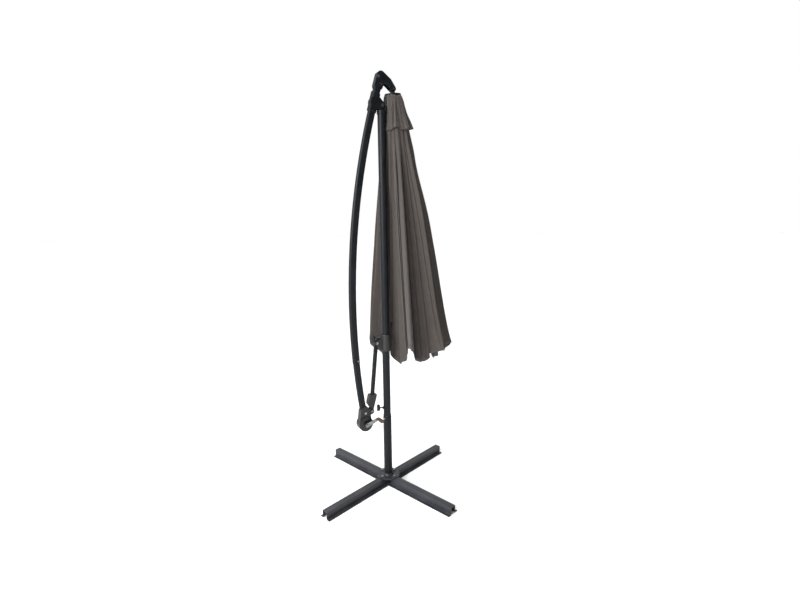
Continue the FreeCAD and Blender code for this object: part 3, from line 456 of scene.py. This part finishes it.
def turned(points, pivot, axis, angle):
    """Points turned about an axis through pivot; angle may be one number or one for each point."""
    points = np.asarray(points, float) - pivot
    angle = np.broadcast_to(angle, points.shape[:-1])[..., None]
    along = (points @ axis)[..., None] * axis
    return pivot + along + (points - along) * np.cos(angle) + np.cross(axis, points) * np.sin(angle)


def smoothstep(t):
    """0 to 1 with a soft start and end."""
    t = np.clip(t, 0, 1)
    return t * t * (3 - 2 * t)


HUB_UP = unit(JOINTS["runner_slide"]["axis"])
RIB_TRAVEL = radians(JOINTS["rib_1_swing"]["range_deg"][1])
PIVOT = [np.array(JOINTS[f"rib_{i}_swing"]["pos_m"]) for i in range(1, GORES + 1)]
HINGE = [unit(JOINTS[f"rib_{i}_swing"]["axis"]) for i in range(1, GORES + 1)]
HUB_CENTRE = np.mean(PIVOT, axis=0)


def node_points(node):
    """Mesh points of a CAD node."""
    return np.array([v.co for v in frame["nodes"][node].data.vertices], float)


def rib_way(number):
    """Unit vector along a rib, from its pivot to its tip."""
    tip_zone = 0.004
    points = node_points(f"rib_{number}")
    away = np.linalg.norm(points - PIVOT[number - 1], axis=1)
    return unit(points[away > away.max() - tip_zone].mean(axis=0) - PIVOT[number - 1])


def rib_out(pivot, hinge, way):
    """Unit vector square to a rib, away from the hub's axis when folded."""
    normal = unit(np.cross(hinge, way))
    return normal if normal @ (pivot - HUB_CENTRE) > 0 else -normal


WAY = [rib_way(i) for i in range(1, GORES + 1)]
OUT = [rib_out(*rib) for rib in zip(PIVOT, HINGE, WAY)]
CLOTH_RISE = 0.0085


def rib_line(index, d, rise=CLOTH_RISE):
    """Cloth line over a rib in the folded position, d metres from its pivot."""
    index %= GORES
    return PIVOT[index] + np.multiply.outer(d, WAY[index]) + rise * OUT[index]


def opened(index, points, back=False):
    """Points that ride on a rib, moved from the folded position to the opened one, or back."""
    index %= GORES
    return turned(points, PIVOT[index], HINGE[index], -RIB_TRAVEL if back else RIB_TRAVEL)


def mast_clearance(points):
    """Distance from the mast's axis less what the cloth keeps from it."""
    slider_top, head_bottom = 1.0, 2.15
    keep_slider, keep_mast, keep_head = 0.044, 0.032, 0.034
    z = points[..., 2]
    keep = np.where(z < slider_top, keep_slider, np.where(z > head_bottom, keep_head, keep_mast))
    return np.hypot(points[..., 0], points[..., 1]) - keep


def outwards(index):
    """Direction from the hub's axis to the middle of a gore."""
    return unit(PIVOT[index] + PIVOT[(index + 1) % GORES] - 2 * HUB_CENTRE)


def fold_points(index, d, s, billow, width):
    """Folded position of a gore's points, given on the opened canopy by the distance d from the hub,
    the share s of the way to the next rib and the height of the billow above the straight line.
    From start to end, width apart, the cloth turns from one rib's motion to the next one's."""
    halvings, clearance_rounds, near_enough = 34, 8, 1e-4
    left = opened(index, rib_line(index, d))
    right = opened(index + 1, rib_line(index + 1, d))
    straight = left + s[..., None] * (right - left)
    middle = unit(WAY[index] + WAY[(index + 1) % GORES])
    side = unit(np.cross(HUB_UP, middle))
    if side @ (PIVOT[(index + 1) % GORES] - PIVOT[index]) < 0:
        side = -side
    start, end = HUB_CENTRE - side * width / 2, HUB_CENTRE + side * width / 2
    fold = JOINTS[f"gore_{index + 1}_fold"]
    fold_at, fold_axis = np.array(fold["pos_m"]), unit(fold["axis"])
    fold_angle = radians(fold["range_deg"][1])
    across = outwards(index)
    tilt = (BILLOW_TILT * 4 * s * (1 - s))[..., None]
    normal = HUB_UP * np.cos(tilt) + unit(across - HUB_UP * (across @ HUB_UP)) * np.sin(tilt)

    def solve(lift):
        """Folded points whose own share of the gore's hinge takes them to that lift when opened."""
        target = opened(index, straight + lift[..., None] * normal, back=True)
        low, high = np.zeros(target.shape[:-1]), np.ones(target.shape[:-1])
        for _ in range(halvings):
            share = (low + high) / 2
            place = turned(target, fold_at, fold_axis, -share * fold_angle)
            wanted = smoothstep((place - start) @ (end - start) / width**2)
            more = wanted > share
            low, high = np.where(more, share, low), np.where(more, high, share)
        return turned(target, fold_at, fold_axis, -(low + high) / 2 * fold_angle)

    lift = np.array(billow, float)
    points = solve(lift)
    for _ in range(clearance_rounds):
        short = np.maximum(0, -mast_clearance(points))
        if short.max() < near_enough:
            break
        lift = lift - short
        points = solve(lift)
    return points, start, end


def seam_lengths(points):
    """Distance of each point of a grid from its left side seam, along its row."""
    across = np.linalg.norm(np.diff(points, axis=1), axis=2)
    return np.concatenate([np.zeros((len(points), 1)), across.cumsum(axis=1)], axis=1)


def metres_uv(points):
    """UV map of a grid of points in metres: u from the middle column, v from the last row upwards."""
    u = seam_lengths(points)
    u -= u[:, u.shape[1] // 2][:, None]
    down = np.linalg.norm(np.diff(points, axis=0), axis=2).mean(axis=1)
    v = np.concatenate([[0.0], down.cumsum()])
    v = np.broadcast_to((v[-1] - v)[:, None], u.shape)
    return np.stack([u, v], axis=-1).reshape(-1, 2)


def seam_distance(points):
    """Distance from the nearer of the two side seams."""
    left = seam_lengths(points)
    return np.minimum(left, left[:, -1:] - left)


def crumple(index, depth, points, pleat):
    """Sharp pleats pressed into the folded cloth.  They move it only towards or away from the bundle's
    axis at the middle of the panel, so that each point keeps its share of the two ribs' motion.
    pleat is their height at the hem, and depth runs from 0 at the top to 1 at the hem."""
    top_share, fade_in, fade_out, steep_side, push_off = 0.35, 0.15, 0.3, 2.5, 1.3
    place = np.linspace(-1, 1, points.shape[1])[None, :]
    edge = np.sqrt(1 - place**2)
    size = pleat * (top_share + (1 - top_share) * depth) * smoothstep(depth / 0.1)
    free = openness((place + 1) / 2, index)
    bias = 0.3 * free - 0.15 + (0.28 - 0.08 * free) * smoothstep((depth - 0.4) / 0.5)
    wave = 0.15 * np.sin(2.5 * pi * place + 2.0 * depth + RIPPLE[index, 1])
    move = (bias + wave) * size * edge
    for at, lean, (start, stop), (strength, width) in zip(
        CREASE_AT[index], CREASE_LEAN[index], CREASE_SPAN[index], CREASE_SIZE[index]
    ):
        away = (place - at - lean * (depth - 0.5)) / width
        ending = smoothstep((depth - stop + fade_out) / fade_out)
        run = smoothstep((depth - start) / fade_in) * (1 - ending)
        valley = np.exp(-np.where(away < 0, -steep_side * away, away))
        move = move - strength * size * edge * run * valley
    moved = points + move[..., None] * outwards(index)
    short = np.maximum(0, -mast_clearance(moved))
    return moved - points - push_off * short[..., None] * outwards(index)


def grid_normals(points):
    """Unit normals of a grid of points, on the side away from the hub's axis."""
    normal = np.cross(np.gradient(points, axis=0), np.gradient(points, axis=1))
    normal /= np.linalg.norm(normal, axis=2)[..., None]
    middle = points[len(points) // 2, points.shape[1] // 2] - HUB_CENTRE
    outward = middle - (middle @ HUB_UP) * HUB_UP
    centre = normal[len(points) // 2, points.shape[1] // 2]
    return normal if centre @ outward > 0 else -normal


def make_gore(name, stands_for, index, d, lift_of, width, thickness, columns, pleat):
    """One cloth panel between two ribs, bending from one rib's motion to the next one's.  It is worked
    out on fine columns first, then again on columns that are evenly spaced along the folded cloth."""
    s = np.broadcast_to(smoothstep(np.linspace(0, 1, FINE_COLUMNS)), (len(d), FINE_COLUMNS))
    for step in (FINE_COLUMNS, columns):
        rows = np.broadcast_to(d[:, None], s.shape)
        deep, lift = lift_of(rows, s, index)
        points, start, end = fold_points(index, deep, s, lift, width)
        if step != columns:
            left = seam_lengths(points)
            even = np.linspace(0, 1, columns)
            s = np.array([np.interp(even, run / run[-1], share) for run, share in zip(left, s)])
    points = points + crumple(index, rows / d[-1], points, pleat)
    hem = (rows > d[-1] - HEM_DEPTH - HEM_STEP / 2)[..., None]
    points = points + HEM_RISE * hem * grid_normals(points)
    piece = make_object(name, points.reshape(-1, 3), grid_faces(*s.shape), metres_uv(points))
    edge = piece.data.attributes.new("seam_distance", "FLOAT", "POINT")
    edge.data.foreach_set("value", seam_distance(points).astype(np.float32).ravel())
    solid = piece.modifiers.new("thickness", "SOLIDIFY")
    solid.thickness, solid.offset = thickness, 0
    baked(piece)
    dress(piece, "canopy_fabric")
    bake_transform(piece)
    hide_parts(stands_for)


# The cloth's places are distances from a rib's pivot along the rib.
RIB_TIP = np.linalg.norm(node_points("rib_1") - PIVOT[0], axis=1).max()
MAIN_TOP, MAIN_END = 0.10, RIB_TIP + 0.002
VENT_TOP, VENT_END = 0.003, 0.185
HEM_DEPTH, HEM_RISE, HEM_STEP = 0.022, 0.0008, 0.001
CREASES = 4
FINE_COLUMNS = 241
BILLOW_TILT = radians(18)
OPEN_SIDE = radians(-27)
HEM_RADIUS = 0.2
SEAM_RADIUS = 0.0016

# One row of random numbers for each gore.  A crease is a place across the panel from -1 to 1, its lean,
# where it starts and stops down the cloth, and its strength and width.
RIPPLE = rng.uniform(0, 2 * pi, (GORES, 4))
SWELL = rng.uniform(0.8, 1.2, GORES)
CREASE_AT = 0.75 * (2 * (np.arange(CREASES) + rng.uniform(0.2, 0.8, (GORES, CREASES))) / CREASES - 1)
CREASE_LEAN = rng.uniform(-0.3, 0.3, (GORES, CREASES))
CREASE_SPAN = rng.uniform((0.0, 0.7), (0.3, 1.6), (GORES, CREASES, 2))
CREASE_SIZE = rng.uniform((0.6, 0.10), (1.2, 0.22), (GORES, CREASES, 2))


def azimuth_of(s, index):
    """Angle about the hub, seen from above, of a place across a gore."""
    first = PIVOT[index] - HUB_CENTRE
    return np.arctan2(first[1], first[0]) + 2 * pi / GORES * s


def openness(s, index):
    """1 on the side of the bundle that hangs free of the mast, 0 on the side next to the mast."""
    return 0.5 + 0.5 * np.cos(azimuth_of(s, index) - OPEN_SIDE)


def level_drop(s, index):
    """How much further down the rib the hem reaches, so that it is nearly level although the bundle
    leans."""
    azimuth = azimuth_of(s, index)
    return -HEM_RADIUS * (HUB_UP[0] * np.cos(azimuth) + HUB_UP[1] * np.sin(azimuth))


def main_lift(d, s, index):
    """Distance down the cloth and height of its folds, for a main panel on the opened canopy: a billow,
    and long soft waves."""
    billow, free_billow, long_wave, short_wave = 0.026, 0.016, 0.008, 0.003
    free_drop, hem_wave = 0.072, 0.005
    depth = d / MAIN_END
    belly = 4 * s * (1 - s)
    edge = np.sqrt(np.maximum(belly, 0))
    free = openness(s, index)
    grow = smoothstep((depth - 0.06) / 0.45)
    drop = level_drop(s, index) + free_drop * free**2 + hem_wave * np.sin(5 * pi * s + RIPPLE[index, 3])
    deep = d + edge * depth**2 * drop
    lift = (billow + free_billow * free) * SWELL[index] * belly**0.6 * grow
    lift = lift + long_wave * edge * np.sin(3 * pi * s + 1.4 * depth + RIPPLE[index, 0]) * grow
    return deep, lift + short_wave * edge * np.sin(9 * depth + RIPPLE[index, 2]) * depth


def vent_lift(d, s, index):
    """The same for a panel of the short upper tier, which flares to a scalloped hem on its free side."""
    scallop, scallop_spread = 0.014, 0.008
    off_hub, off_ribs, billow, hem_flare = 0.001, 0.007, 0.014, 0.012
    least_flare = 0.15
    depth = np.clip((d - VENT_TOP) / (VENT_END - VENT_TOP), 0, 1)
    belly = 4 * s * (1 - s)
    flare = least_flare + (1 - least_flare) * openness(s, index)
    deep = d + (scallop + scallop_spread * np.sin(RIPPLE[index, 1])) * belly * depth
    lift = off_hub + off_ribs * smoothstep(depth / 0.4) + billow * belly * smoothstep(depth) * flare
    return deep, lift + hem_flare * smoothstep((depth - 0.45) / 0.55) * flare


def with_hem_rows(d):
    """Rows down the cloth, with the step of a folded hem at the end."""
    nearest_row = 0.003
    hem = d[-1] - np.array([HEM_DEPTH + HEM_STEP, HEM_DEPTH, HEM_DEPTH / 2, 0])
    return np.concatenate([d[d < hem[0] - nearest_row], hem])


def ride_on_rib(piece, index):
    """Fix a piece of cloth to one rib."""
    dress(piece, "canopy_fabric")
    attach(piece, f"rib_{index + 1}")


def rib_pocket(index):
    """Sewn pocket over the end of a rib: a flat sleeve with a closed, rounded end."""
    half_width, squareness, sides = 0.0078, 0.6, 20
    mouth, girth = -0.062, 0.05
    stations = [
        (mouth, 0.90), (-0.060, 1.0), (-0.03, 1.0), (0.0, 1.0), (0.006, 0.85), (0.009, 0.5), (0.010, 0.1)
    ]
    rings = []
    for along, scale in stations:
        centre = PIVOT[index] + (RIB_TIP + along) * WAY[index]
        for n in range(sides):
            angle = 2 * pi * n / sides
            across = half_width * np.sign(cos(angle)) * abs(cos(angle)) ** squareness * scale
            out = half_width * np.sign(sin(angle)) * abs(sin(angle)) ** squareness * scale
            rings.append(centre + across * HINGE[index] + out * OUT[index])
    uv = [(girth * n / sides, along - mouth) for along, _ in stations for n in range(sides)]
    ride_on_rib(make_object(f"rib_pocket_{index + 1}", rings, ring_faces(len(stations), sides), uv), index)


def seam_piping(index):
    """Rolled seam over a rib, where two panels are joined."""
    above_cloth = 0.0012
    path = rib_line(index, np.linspace(MAIN_TOP, MAIN_END, 60), CLOTH_RISE + above_cloth)
    ride_on_rib(tube_along(f"seam_piping_{index + 1}", path, SEAM_RADIUS), index)


def make_canopy():
    """Eight main panels, the short upper tier over them, and the seam and pocket of each rib."""
    main_rows = with_hem_rows(np.linspace(MAIN_TOP, MAIN_END, 60))
    vent_rows = with_hem_rows(np.linspace(VENT_TOP, VENT_END, 26))
    for index in range(GORES):
        number = index + 1
        make_gore(
            f"canopy_gore_{number}", f"canopy_panel_{number}", index, main_rows, main_lift,
            width=0.062, thickness=0.0009, columns=81, pleat=0.062,
        )
        make_gore(
            f"vent_gore_{number}", "vent_canopy", index, vent_rows, vent_lift,
            width=0.049, thickness=0.0008, columns=41, pleat=0.016,
        )
        seam_piping(index)
        rib_pocket(index)


# ---- cord and weld -----------------------------------------------------------------------------
def along_nurbs(points):
    """Points along the smooth spline that has these control points."""
    curve = bpy.data.curves.new("route", "CURVE")
    curve.dimensions, curve.resolution_u = "3D", 30
    spline = curve.splines.new("NURBS")
    spline.points.add(len(points) - 1)
    for target, point in zip(spline.points, points):
        target.co = (*point, 1)
    spline.order_u, spline.use_endpoint_u = 3, True
    route = bpy.data.objects.new("route", curve)
    bpy.context.collection.objects.link(route)
    bpy.context.view_layer.update()
    line = bpy.data.meshes.new_from_object(route)
    bpy.data.objects.remove(route)
    return [tuple(vertex.co) for vertex in line.vertices]


def make_hoist_cord():
    """Braided cord inside the folded canopy, from the hub down to the runner."""
    end_zone = 0.001
    points = node_points("hoist_cord")
    height = (points - HUB_CENTRE) @ HUB_UP
    low, high = (points[abs(height - end) < end_zone].mean(axis=0) for end in (height.min(), height.max()))
    path = along_nurbs([high, (high + low) / 2, low])
    radius = np.linalg.norm(points - high - np.outer((points - high) @ HUB_UP, HUB_UP), axis=1).max()
    rope = dress(tube_along("hoist_rope", path, radius, 12), "cord")
    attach(rope, "hub")
    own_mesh(rope)
    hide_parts("hoist_cord")


def make_weld_bead():
    """Rippled fillet weld between the flange collar and the foot of the mast."""
    thick, ripple, ripples, gap, sunk = 0.0032, 0.10, 24, 0.0006, 0.1
    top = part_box("base_flange")[1].z
    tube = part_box("mast_lower_tube")[1].x
    around, across = 240, 10
    rings = []
    for k in range(around):
        angle = 2 * pi * k / around
        radius = thick * (1 + ripple * abs(sin(ripples * angle)))
        for n in range(across):
            turn = 2 * pi * n / across
            reach = tube + gap + radius * cos(turn)
            rings.append((reach * cos(angle), reach * sin(angle), top + radius * (sin(turn) + sunk)))
    # The faces are turned over, because these rings run the other way.
    faces = [face[:1] + face[:0:-1] for face in ring_faces(around, across, closed=True)]
    bead = dress(make_object("weld_bead", rings, faces), "base_steel")
    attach(bead, "root")


make_weld_bead()
make_hoist_cord()
make_canopy()

# ---- carried-over parts ------------------------------------------------------------------------
for node, piece in frame["nodes"].items():
    dress(piece, SLOT_OF[node])
